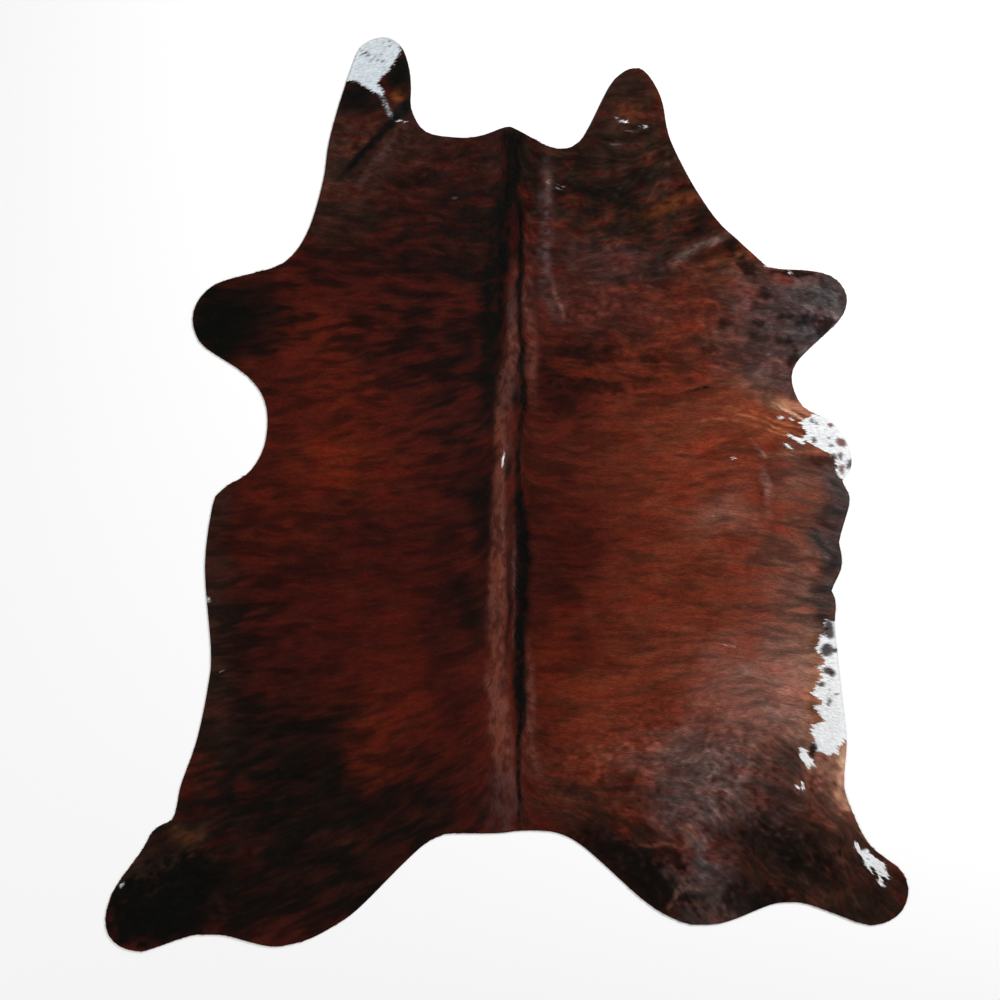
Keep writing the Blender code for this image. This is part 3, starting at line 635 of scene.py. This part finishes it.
# White hair, as outlines that run past the cut edge where they meet it: (x, y)
WHITE = {
    "left neck flap": (
        (-0.383, 0.995), (-0.361, 0.995), (-0.346, 0.984), (-0.326, 0.971), (-0.31, 0.963),
        (-0.301, 0.957), (-0.3, 0.968), (-0.306, 0.98), (-0.311, 0.99), (-0.306, 1.001),
        (-0.296, 1.01), (-0.286, 1.018), (-0.281, 1.028), (-0.271, 1.04), (-0.266, 1.05),
        (-0.256, 1.076), (-0.24, 1.103), (-0.305, 1.127), (-0.402, 1.079),
    ),
    "right elbow": (
        (0.693, 0.178), (0.706, 0.173), (0.72, 0.181), (0.742, 0.191), (0.79, 0.198), (0.85, 0.153),
        (0.86, 0.064), (0.826, 0.011), (0.8, 0.042), (0.794, 0.064), (0.79, 0.081), (0.783, 0.097),
        (0.747, 0.111), (0.731, 0.123), (0.725, 0.132), (0.712, 0.12), (0.684, 0.137),
        (0.667, 0.144), (0.681, 0.145), (0.701, 0.136), (0.714, 0.134), (0.721, 0.142),
        (0.72, 0.155), (0.71, 0.167),
    ),
    "right flank": (
        (0.76, -0.312), (0.767, -0.324), (0.769, -0.343), (0.748, -0.332), (0.758, -0.345),
        (0.754, -0.362), (0.744, -0.37), (0.765, -0.399), (0.746, -0.424), (0.762, -0.427),
        (0.758, -0.445), (0.74, -0.46), (0.741, -0.478), (0.758, -0.492), (0.758, -0.506),
        (0.745, -0.514), (0.762, -0.544), (0.737, -0.556), (0.739, -0.586), (0.748, -0.606),
        (0.75, -0.626), (0.762, -0.623), (0.772, -0.63), (0.792, -0.621), (0.817, -0.595),
        (0.855, -0.591), (0.826, -0.375), (0.806, -0.312), (0.775, -0.3),
    ),
    "right haunch": (
        (0.71, -0.61), (0.725, -0.615), (0.727, -0.632), (0.739, -0.639), (0.742, -0.654),
        (0.725, -0.659), (0.713, -0.642), (0.708, -0.622),
    ),
    "lower on the right haunch": (
        (0.713, -0.69), (0.718, -0.709), (0.703, -0.716), (0.698, -0.709), (0.71, -0.702),
    ),
    "right hind leg": (
        (0.835, -0.841), (0.844, -0.839), (0.854, -0.857), (0.861, -0.857), (0.867, -0.85),
        (0.876, -0.865), (0.889, -0.877), (0.909, -0.889), (0.903, -0.89), (0.916, -0.911),
        (0.919, -0.927), (0.905, -0.92), (0.901, -0.933), (0.912, -0.943), (0.896, -0.942),
        (0.889, -0.928), (0.894, -0.912), (0.89, -0.9), (0.88, -0.901), (0.875, -0.911),
        (0.861, -0.877), (0.846, -0.863),
    ),
}

JAG = 0.003  # how far the edge of the white runs in and out along the hair
FLAP_JAG = 0.3  # the share of that on the neck flap
WHITE_SHARE = 0.96

# Small white marks: x, y, half width, half length, turn if any
SPLASHES = (
    (0.677, 0.116, 0.011, 0.0025, -37), (0.66, 0.185, 0.0045, 0.004),
    (0.684, 0.181, 0.0045, 0.0025, -20), (0.546, 0.088, 0.004, 0.0018, -30),
    (-0.26, 0.899, 0.0032, 0.002), (-0.243, 0.898, 0.0026, 0.002), (-0.72, -0.254, 0.0025, 0.005),
    (-0.802, -0.748, 0.003, 0.008, -20), (-0.812, -0.775, 0.003, 0.005, -30),
    (-0.927, -0.94, 0.004, 0.0022, -40), (-0.686, -0.427, 0.002, 0.002),
    (0.628, 0.549, 0.005, 0.0022), (0.681, 0.534, 0.0025, 0.0032),
    (0.282, 0.897, 0.01, 0.0018, -12), (0.266, 0.906, 0.002, 0.0016), (0.333, 0.884, 0.0018, 0.004),
    (0.323, 0.886, 0.0014, 0.0014), (-0.009, 0.083, 0.002, 0.014, -10),
)
SPLASH_EDGE = (1.8, 0.7)
SPLASH_SHARE = 0.9

# Fine grey specks on the white, most on the tip of the neck flap: x, y, half width, half length
SPECKLED = (-0.3, 1.075, 0.05, 0.03)
SPECK_LEVEL = 3.2  # only noise above this makes a speck,
SPECK_EASE = 1.3  # and on the tip above so much less
SPECK_SHARE = 0.6
speck_noise = soft_noise(35, 0.001)

# Spots on the white, and faint marks elsewhere: x, y, half width, half length, turn if any, tone
SPOTS = (
    (0.099, 0.752, 0.002, 0.004, "blush"), (0.122, 0.737, 0.006, 0.0011, "dove"),
    (0.136, 0.74, 0.002, 0.0013, "dove"), (-0.125, 0.713, 0.005, 0.002, -20, "ash"),
    (0.526, -0.362, 0.006, 0.002, -20, "dove"), (0.545, -0.366, 0.003, 0.002, "dove"),
    (0.3, 0.874, 0.016, 0.002, -4, "ash"), (0.262, 0.842, 0.014, 0.002, 4, "ash"),
    (0.776, -0.325, 0.012, 0.022, 10, "liver"), (0.77, -0.374, 0.015, 0.015, "liver"),
    (0.791, -0.375, 0.006, 0.006, "umber"), (0.775, -0.425, 0.014, 0.008, -15, "umber"),
    (0.783, -0.432, 0.007, 0.007, "umber"), (0.757, -0.457, 0.008, 0.006, "umber"),
    (0.775, -0.5, 0.004, 0.01, -15, "umber"), (0.737, -0.615, 0.009, 0.018, -8, "soot"),
    (0.794, -0.48, 0.004, 0.004, "pewter"), (0.774, -0.47, 0.003, 0.003, "pewter"),
    (0.778, 0.167, 0.007, 0.005, "rose"), (0.805, 0.125, 0.013, 0.009, -25, "rose"),
    (0.803, 0.092, 0.006, 0.009, "plum"), (0.825, 0.073, 0.007, 0.013, -22, "plum"),
    (0.806, 0.06, 0.006, 0.012, "rose"), (0.739, 0.131, 0.006, 0.007, "plum"),
    (0.781, 0.118, 0.005, 0.005, "heather"), (0.775, 0.136, 0.003, 0.003, "pewter"),
    (0.734, 0.178, 0.004, 0.005, "heather"), (0.745, 0.171, 0.004, 0.004, "heather"),
    (0.787, 0.092, 0.004, 0.007, "umber"), (0.867, -0.877, 0.002, 0.002, "ash"),
    (0.893, -0.898, 0.002, 0.002, "ash"), (0.899, -0.909, 0.002, 0.002, "ash"),
    (-0.34, 1.062, 0.003, 0.003, "soot"), (-0.348, 1.059, 0.004, 0.002, 25, "soot"),
    (-0.335, 1.056, 0.004, 0.003, "ash"), (-0.317, 1.054, 0.003, 0.003, "soot"),
    (-0.327, 1.045, 0.003, 0.003, "ash"), (-0.3, 1.043, 0.003, 0.003, "soot"),
    (-0.313, 1.046, 0.004, 0.002, -20, "ash"), (-0.281, 1.092, 0.003, 0.003, "ash"),
    (-0.283, 1.079, 0.004, 0.003, "pewter"), (-0.303, 1.06, 0.003, 0.003, "pewter"),
    (-0.352, 1.069, 0.003, 0.002, "pewter"), (-0.297, 1.086, 0.002, 0.003, "pewter"),
)
SPOT_EDGE = (1.6, 0.7)
SPOT_SHARE = 0.92
GAMMA = 2.2


def linear(tone):
    """A tone as the renderer's own red, green and blue."""
    return (np.array(TONES[tone], np.float32) / 255) ** GAMMA


def smooth(low, high, value):
    """A soft step, 0 where the value is low and 1 where it is high."""
    t = np.clip((value - low) / (high - low), 0, 1)
    return t * t * (3 - 2 * t)


def tinted(colour, share, tone):
    """The colour with a share of the tone in it."""
    return colour + share[:, None] * (linear(tone) - colour)


def mixed(fields, base=0, **weights):
    """A base and the named fields, each times its weight."""
    return sum((weight * fields[name] for name, weight in weights.items()), base)


def stroke_share(points, x, y):
    """How strongly a stroke colours each place."""
    share = np.zeros(x.shape, np.float32)
    for (x0, y0, wide0, strong0), (x1, y1, wide1, strong1) in zip(points, points[1:]):
        run_x, run_y = x1 - x0, y1 - y0
        t = np.clip(((x - x0) * run_x + (y - y0) * run_y) / (run_x**2 + run_y**2), 0, 1)
        apart = np.hypot(x - x0 - t * run_x, y - y0 - t * run_y) / (wide0 + t * (wide1 - wide0))
        share = np.maximum(share, (strong0 + t * (strong1 - strong0)) * np.exp(-(apart**3)))
    return share


def inside(corners, x, y):
    """Whether each place is inside an outline."""
    found = np.zeros(x.shape, bool)
    for (x0, y0), (x1, y1) in zip(corners, corners[1:] + corners[:1]):
        if y0 != y1:
            found ^= ((y0 > y) != (y1 > y)) & (x < (x1 - x0) * (y - y0) / (y1 - y0) + x0)
    return found


def uneven_at(x, y):
    """Every kind of noise at these places, as streaks along the hair or just as it is."""
    return {
        name: combed(field, x, y, *STREAKS[name]) if name in STREAKS else read(field, x, y)
        for name, field in noises.items()
    }


def patched(x, y, uneven, curly):
    """The plain areas of colour, which end raggedly along the hair."""
    from_x, from_y = x + DRIFT * uneven["drift x"], y + DRIFT * uneven["drift y"]
    ragged = mixed(uneven, broad=0.3, middle=0.34, thin=0.16, blotch=0.2)
    ragged = np.tanh(ragged + curly * mixed(uneven, mottle=0.55, fleck=0.4))
    colour = np.tile(linear("mahogany"), (x.size, 1))
    for *patch, tone, strength in PATCHES:
        share = np.exp(-PATCH_FALL * within(from_x, from_y, *patch) ** PATCH_EDGE)
        share = share + ragged * share * (1 - share * (1 - CURL_RAGGED * curly))
        colour = tinted(colour, strength * np.clip(share, 0, 1), tone)
    return colour * np.exp(uneven["warm"][:, None] * WARMTH)


def brindled(colour, x, y, uneven, curly):
    """The colour with its dark streaks and marks, and its small differences of shade."""
    amount = of_region(BRINDLE, BRINDLE_ELSEWHERE, x, y)
    blotched, mottled, flecked = (
        straight + more * curly for straight, more in (BLOTCHED, MOTTLED, FLECKED)
    )
    streaks = 1 - CURL_BROKEN * np.minimum(curly, 1)
    streaks = streaks * mixed(uneven, broad=0.5, middle=0.55, thin=0.3)
    streaks += blotched * uneven["blotch"] + curly * mixed(uneven, mottle=0.38, fleck=0.4)
    low, high = (edge - STREAK_SHIFT * amount for edge in STREAK_EDGE)
    dark = amount * smooth(low, high, streaks)
    colour = colour * (1 + UNDER_BRINDLE * amount)[:, None]
    colour = tinted(colour, BRINDLE_DEPTH * dark, "black")
    ragged = mixed(uneven, mottle=0.45, middle=0.45, fleck=0.3, thin=0.2)
    for *mark, strength in MARKS:
        share = smooth(*MARK_EDGE, within(x, y, *mark) + ragged)
        colour = tinted(colour, strength * share, "black")
    shade = mixed(uneven, thin=-0.08, middle=-0.05, broad=-0.04) + mottled * uneven["mottle"]
    return colour * np.exp(shade + flecked * uneven["fleck"])[:, None]


def lined(colour, x, y, uneven):
    """The colour with the lines along the folds, mostly painted highlight and shade, and the long pale
    hairs.
    """
    closed = np.clip(mixed(uneven, 1, mottle=0.3, fleck=0.22), *CLOSED)
    broken = np.clip(mixed(uneven, 1, mottle=0.5, fleck=0.4, thin=0.25), *BROKEN)
    off_x = x + STROKE_WAVER[0] * uneven["blotch"]
    off_y = y + STROKE_WAVER[1] * uneven["mottle"]
    for tone, points in STROKES:
        share = stroke_share(points, off_x, off_y) * (closed if tone == "black" else broken)
        colour = tinted(colour, np.clip(share, 0, 1), tone)
    hairs = smooth(*STRAND_RISE, mixed(uneven, thin=1, middle=0.7))
    for *strand, tone, strength in STRANDS:
        colour = tinted(colour, strength * np.exp(-within(x, y, *strand)) * hairs, tone)
    return colour


def coat_colour(x, y):
    """Colour of the hair at each place, with painted highlight and shade on its folds, but for the
    white.
    """
    uneven = uneven_at(x, y)
    curly = of_region(CURLY, CURLY_ELSEWHERE, x, y)
    return lined(brindled(patched(x, y, uneven, curly), x, y, uneven, curly), x, y, uneven)


def white_hair(x, y):
    """Which places have white hair: on the neck flap, and elsewhere."""
    middle, thin = (combed(noises[name], x, y, *STREAKS[name]) for name in ("middle", "thin"))
    jag = JAG * middle + JAG * thin
    go_x, go_y = jag * read(lie_x, x, y), jag * read(lie_y, x, y)
    on_flap = inside(WHITE["left neck flap"], x + FLAP_JAG * go_x, y + FLAP_JAG * go_y)
    x, y, elsewhere = x + go_x, y + go_y, np.zeros(x.shape, bool)
    for place, corners in WHITE.items():
        if place != "left neck flap":
            elsewhere |= inside(corners, x, y)
    return on_flap, elsewhere


def finished(colour, x, y, on_flap, elsewhere):
    """The colour with its white hair, and the specks and spots on that."""
    colour = tinted(tinted(colour, WHITE_SHARE * on_flap, "milk"), WHITE_SHARE * elsewhere, "white")
    level = SPECK_LEVEL - SPECK_EASE * np.exp(-within(x, y, *SPECKLED))
    specks = (read(speck_noise, x, y) > level) & (on_flap | elsewhere)
    colour = tinted(colour, SPECK_SHARE * specks, "ash")
    for splash in SPLASHES:
        share = smooth(*SPLASH_EDGE, within(x, y, *splash))
        colour = tinted(colour, SPLASH_SHARE * share, "white")
    for *spot, tone in SPOTS:
        colour = tinted(colour, SPOT_SHARE * smooth(*SPOT_EDGE, within(x, y, *spot)), tone)
    return colour


# --- The coat -------------------------------------------------------------------------------
# Short, glossy hair that grows out of the skin and lies flat on it, tips towards tail and belly.
# Each blade here is a small lock of hair. The five pieces are strips of one coat, side by side.

LOCKS = 300_000
LOCK_LENGTH = (0.014, 0.019)
LOCK_WIDTH = (0.0017, 0.0025)
LOCK_CORNERS = 5  # two at the root, two halfway and the tip
LOCK_FACES = ((0, 1, 3, 2), (2, 3, 4))
ROOT_HALF, MIDDLE_HALF, TIP_HALF = 0.35, 0.5, 0  # half of its breadth there, in lock widths
ROOT_SINK = 0.0002
MIDDLE_RISE = (0.0006, 0.0012)
TIP_RISE = (0.0008, 0.0018)
SWERVE = math.radians(9)
COAT_SEED = 5
SCATTER = 0.6  # how far roots stray from even rows, in row spacings

# Along the cut edge
EDGE_REACH = 0.03
EDGE_BARE = 0.0008  # no root is nearer than this
OVERHANG = (-0.001, 0.0018)  # how far tips pass it
PULLS, LONGEST_PULL = 6, 0.006  # times that a lock is pulled back inside, and how far at most
TRIM = 1.5  # a lock that still hangs over loses this much more than hangs over
SHORTEST_LOCK = 0.005
DROOP = 0.6  # how fast hair falls past it

SHADES = (0.8, 1, 1.12)  # of root, middle and tip
SHADE_SPREAD = 0.1
WHITE_AT = 0.4  # where a lock is told white or not, from its middle to its tip
BRIGHTEST = 0.9
HAIR_GRAIN = (0.88, 1.12)

COAT_PIECES = (
    "coat_left_side", "coat_left_barrel", "coat_back", "coat_right_barrel", "coat_right_side",
)


def depth_from_edge():
    """A field of how far each place lies inside the cut edge, counted no further than a reach."""
    apart = np.full(FIELD_SHAPE, EDGE_REACH, np.float32)
    ends = np.roll(cut_edge, -1, axis=0)
    reach = int(EDGE_REACH / GRAIN) + 1
    for start, end in zip(cut_edge, ends):
        low = np.floor((np.minimum(start, end) + HALF_ROOM) / GRAIN).astype(int) - reach
        high = np.ceil((np.maximum(start, end) + HALF_ROOM) / GRAIN).astype(int) + reach
        low, high = np.maximum(low, 0), np.minimum(high, FIELD_SHAPE)
        x = np.arange(low[0], high[0])[:, None] * GRAIN - HALF_ROOM[0] - start[0]
        y = np.arange(low[1], high[1])[None, :] * GRAIN - HALF_ROOM[1] - start[1]
        run = end - start
        t = np.clip((x * run[0] + y * run[1]) / (run @ run), 0, 1)
        found = np.hypot(x - t * run[0], y - t * run[1])
        window = apart[low[0] : high[0], low[1] : high[1]]
        np.minimum(window, found, out=window)
    return np.where(cover > 0.5, apart, -apart)


draw = np.random.default_rng(COAT_SEED)
depth = depth_from_edge()
spacing = math.sqrt(HIDE_FLAT_AREA / LOCKS)
root_x, root_y = np.meshgrid(
    np.arange(-HALF_ROOM[0], HALF_ROOM[0], spacing),
    np.arange(-HALF_ROOM[1], HALF_ROOM[1], spacing),
    indexing="ij",
)
root_x = root_x.ravel() + spacing * draw.uniform(-SCATTER, SCATTER, root_x.size)
root_y = root_y.ravel() + spacing * draw.uniform(-SCATTER, SCATTER, root_y.size)
kept = read(depth, root_x, root_y) > EDGE_BARE
root_x, root_y = root_x[kept], root_y[kept]
locks = root_x.size

heading = np.arctan2(read(lie_y, root_x, root_y), read(lie_x, root_x, root_y))
heading += SWERVE * draw.standard_normal(locks)
length = draw.uniform(*LOCK_LENGTH, locks)
width = draw.uniform(*LOCK_WIDTH, locks)
overhang = draw.uniform(*OVERHANG, locks)


def past_edge(x, y):
    """How much further the tips of locks with their roots here pass the cut edge than they may."""
    return -read(depth, x + length * np.cos(heading), y + length * np.sin(heading)) - overhang


for _ in range(PULLS):
    back = np.clip(past_edge(root_x, root_y), 0, LONGEST_PULL)
    root_x, root_y = root_x - back * np.cos(heading), root_y - back * np.sin(heading)
excess = past_edge(root_x, root_y)
length = np.where(excess > 0, np.maximum(SHORTEST_LOCK, length - TRIM * excess), length)

bend = SWERVE * draw.standard_normal(locks)
middle_x = root_x + 0.5 * length * np.cos(heading)
middle_y = root_y + 0.5 * length * np.sin(heading)
tip_x = middle_x + 0.5 * length * np.cos(heading + bend)
tip_y = middle_y + 0.5 * length * np.sin(heading + bend)
draw.standard_normal(locks)  # not used, but the draws below come after it


def above(x, y, rise):
    """Height over the floor, a rise above the skin, drooping where it hangs past the cut edge."""
    past = np.maximum(0, -read(depth, x, y))
    return np.maximum(0, read(lift, x, y)) + LEATHER + rise - DROOP * past


side_x, side_y = -np.sin(heading), np.cos(heading)
lock_corners = np.empty((locks, LOCK_CORNERS, 3), np.float32)
for corner, (x, y, half, rise) in enumerate((
    (root_x, root_y, -ROOT_HALF, -ROOT_SINK),
    (root_x, root_y, ROOT_HALF, -ROOT_SINK),
    (middle_x, middle_y, -MIDDLE_HALF, draw.uniform(*MIDDLE_RISE, locks)),
    (middle_x, middle_y, MIDDLE_HALF, draw.uniform(*MIDDLE_RISE, locks)),
    (tip_x, tip_y, TIP_HALF, draw.uniform(*TIP_RISE, locks)),
)):
    place = lock_corners[:, corner]
    place[:, 0] = x + half * width * side_x
    place[:, 1] = y + half * width * side_y
    place[:, 2] = above(place[:, 0], place[:, 1], rise)

# Colours of root, middle and tip of every lock
whites = white_hair(
    (1 - WHITE_AT) * middle_x + WHITE_AT * tip_x, (1 - WHITE_AT) * middle_y + WHITE_AT * tip_y
)
own_shade = np.exp(SHADE_SPREAD * draw.standard_normal(locks))
lock_tones = np.ones((locks, LOCK_CORNERS, 4), np.float32)
for shade, (x, y), painted in zip(
    SHADES,
    ((root_x, root_y), (middle_x, middle_y), (tip_x, tip_y)),
    (slice(0, 2), slice(2, 4), slice(4, 5)),
):
    colour = finished(coat_colour(x, y), x, y, *whites) * (shade * own_shade)[:, None]
    lock_tones[:, painted, :3] = np.clip(colour, 0, BRIGHTEST)[:, None, :]


def new_material(name, roughness, specular):
    """A new material, with its nodes, its links and its shader."""
    material = bpy.data.materials.new(name)
    material.use_nodes = True
    nodes, links = material.node_tree.nodes, material.node_tree.links
    shader = nodes["Principled BSDF"]
    shader.inputs["Roughness"].default_value = roughness
    shader.inputs["Specular IOR Level"].default_value = specular
    return material, nodes, links, shader


def painted_tone(nodes):
    """The colour painted on the mesh itself."""
    tone = nodes.new("ShaderNodeAttribute")
    tone.attribute_name = "tone"
    return tone.outputs["Color"]


def noise_pattern(nodes, links, scale, detail):
    """A noise pattern on the piece."""
    place = nodes.new("ShaderNodeTexCoord")
    pattern = nodes.new("ShaderNodeTexNoise")
    pattern.inputs["Scale"].default_value = scale
    pattern.inputs["Detail"].default_value = detail
    links.new(place.outputs["Object"], pattern.inputs["Vector"])
    return pattern.outputs["Fac"]


def hair_material():
    """Glossy hair: each lock has its own colour, with a finer grain on it."""
    material, nodes, links, shader = new_material("hair", roughness=0.5, specular=0.05)
    shade = nodes.new("ShaderNodeMapRange")
    shade.inputs["To Min"].default_value, shade.inputs["To Max"].default_value = HAIR_GRAIN
    mix = nodes.new("ShaderNodeMix")
    mix.data_type, mix.blend_type = "RGBA", "MULTIPLY"
    mix.inputs["Factor"].default_value = 1
    links.new(noise_pattern(nodes, links, scale=900, detail=2), shade.inputs["Value"])
    links.new(painted_tone(nodes), mix.inputs["A"])
    links.new(shade.outputs["Result"], mix.inputs["B"])
    links.new(mix.outputs["Result"], shader.inputs["Base Color"])
    return material


hair = hair_material()


def paint(mesh, tones):
    """Gives every point of the mesh its colour."""
    layer = mesh.color_attributes.new("tone", "FLOAT_COLOR", "POINT")
    layer.data.foreach_set("color", tones.ravel())


def coat_strip(name, chosen):
    """One strip of the coat, as a mesh of separate locks."""
    points = lock_corners[chosen].reshape(-1, 3)
    each = np.arange(len(points) // LOCK_CORNERS)[:, None]
    around = np.concatenate(LOCK_FACES)
    loops = (LOCK_CORNERS * each + around).ravel().astype(np.int32)
    starts = (len(around) * each + np.array((0, len(LOCK_FACES[0])))).ravel().astype(np.int32)
    mesh = bpy.data.meshes.new(name)
    mesh.vertices.add(len(points))
    mesh.vertices.foreach_set("co", points.ravel())
    mesh.loops.add(len(loops))
    mesh.loops.foreach_set("vertex_index", loops)
    mesh.polygons.add(len(starts))
    mesh.polygons.foreach_set("loop_start", starts)
    mesh.update(calc_edges=True)
    paint(mesh, lock_tones[chosen])
    low, high = points[:, :2].min(axis=0), points[:, :2].max(axis=0)
    chart = mesh.uv_layers.new(name="OFBake")
    chart.data.foreach_set("uv", ((points[loops, :2] - low) / (high - low)).ravel())
    mesh.materials.append(hair)
    strip = bpy.data.objects.new(name, mesh)
    bpy.context.scene.collection.objects.link(strip)
    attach(strip, "root")
    return strip


borders = np.quantile(root_x, np.linspace(0, 1, len(COAT_PIECES) + 1))
strip_of = np.clip(np.searchsorted(borders, root_x, side="right") - 1, 0, len(COAT_PIECES) - 1)
coat = [coat_strip(name, strip_of == strip) for strip, name in enumerate(COAT_PIECES)]

# --- Finish of the hide ---------------------------------------------------------------------
# Below, the buff suede of the flesh side and the cut edge. Above, the skin between the roots,
# which takes the coat's colour and is almost wholly covered.

# Its darkest and palest colour, and the values of the pattern that get them
SUEDE_TONES = ((0.3, (0.36, 0.30, 0.24, 1)), (0.7, (0.56, 0.50, 0.42, 1)))
NAP_STRENGTH = 0.4
NAP_HEIGHT = 0.0004
SKIN_SHADE = 0.8


def suede_material():
    """Flesh side of tanned leather, slightly uneven in colour and nap."""
    material, nodes, links, shader = new_material("suede", roughness=0.9, specular=0.2)
    colours = nodes.new("ShaderNodeValToRGB")
    for stop, (value, tone) in zip(colours.color_ramp.elements, SUEDE_TONES):
        stop.position, stop.color = value, tone
    bump = nodes.new("ShaderNodeBump")
    bump.inputs["Strength"].default_value = NAP_STRENGTH
    bump.inputs["Distance"].default_value = NAP_HEIGHT
    links.new(noise_pattern(nodes, links, scale=9, detail=5), colours.inputs["Fac"])
    links.new(colours.outputs["Color"], shader.inputs["Base Color"])
    links.new(noise_pattern(nodes, links, scale=700, detail=3), bump.inputs["Height"])
    links.new(bump.outputs["Normal"], shader.inputs["Normal"])
    return material


def skin_material():
    """The skin between the roots, coloured as the hair that grows there."""
    material, nodes, links, shader = new_material("skin", roughness=0.7, specular=0.1)
    links.new(painted_tone(nodes), shader.inputs["Base Color"])
    return material


hide_mesh.materials.append(suede_material())
hide_mesh.materials.append(skin_material())
places = np.empty(3 * len(hide_mesh.vertices), np.float32)
hide_mesh.vertices.foreach_get("co", places)
skin_x, skin_y = places[0::3], places[1::3]
colour = finished(coat_colour(skin_x, skin_y), skin_x, skin_y, *white_hair(skin_x, skin_y))
skin_tones = np.ones((len(skin_x), 4), np.float32)
skin_tones[:, :3] = SKIN_SHADE * np.clip(colour, 0, BRIGHTEST)
paint(hide_mesh, skin_tones)
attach(hide, "root")
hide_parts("hide")

# --- Floor, light and camera ----------------------------------------------------------------
# A pale matt floor, soft light from the upper right, and a long lens straight above.

FLOOR_SIZE = 60
FLOOR_DROP = 0.0005  # how far it lies under the hide, so that the two share no plane
FLOOR_COLOUR = (0.92, 0.92, 0.92, 1)
# Square soft lights: place, what each points at, size, power
LIGHTS = {
    "key": ((3.0, 2.6, 3.2), (0.2, 0, 0), 2.2, 260),
    "fill": ((-3.4, -2.0, 3.6), (0, 0, 0), 3.0, 90),
}
ROOM_LIGHT = 0.35
PHOTO_WIDTH = 2.407  # metres across the picture
PHOTO_MIDDLE = (-0.0166, -0.0135)
CAMERA_HEIGHT = 12
CAMERA_SIGHT = 100

bpy.ops.mesh.primitive_plane_add(size=FLOOR_SIZE, location=(0, 0, -FLOOR_DROP))
floor = bpy.context.object
floor.name = "floor"
floor_material, _, _, floor_shader = new_material("pale_floor", roughness=0.9, specular=0.1)
floor_shader.inputs["Base Color"].default_value = FLOOR_COLOUR
floor.data.materials.append(floor_material)

for name, (place, target, size, power) in LIGHTS.items():
    lamp = bpy.data.lights.new(name, "AREA")
    lamp.size, lamp.energy = size, power
    light = bpy.data.objects.new(name, lamp)
    light.location = place
    light.rotation_euler = (Vector(target) - Vector(place)).to_track_quat("-Z", "Y").to_euler()
    bpy.context.scene.collection.objects.link(light)

world = bpy.data.worlds.new("studio")
world.use_nodes = True
world.node_tree.nodes["Background"].inputs["Color"].default_value = (1, 1, 1, 1)
world.node_tree.nodes["Background"].inputs["Strength"].default_value = ROOM_LIGHT
bpy.context.scene.world = world
bpy.context.scene.view_settings.view_transform = "Standard"

lens = bpy.data.cameras.new("camera")
lens.lens = lens.sensor_width * CAMERA_HEIGHT / PHOTO_WIDTH
lens.clip_end = CAMERA_SIGHT
camera = bpy.data.objects.new("camera", lens)
camera.location = (*PHOTO_MIDDLE, CAMERA_HEIGHT)
bpy.context.scene.collection.objects.link(camera)
bpy.context.scene.camera = camera
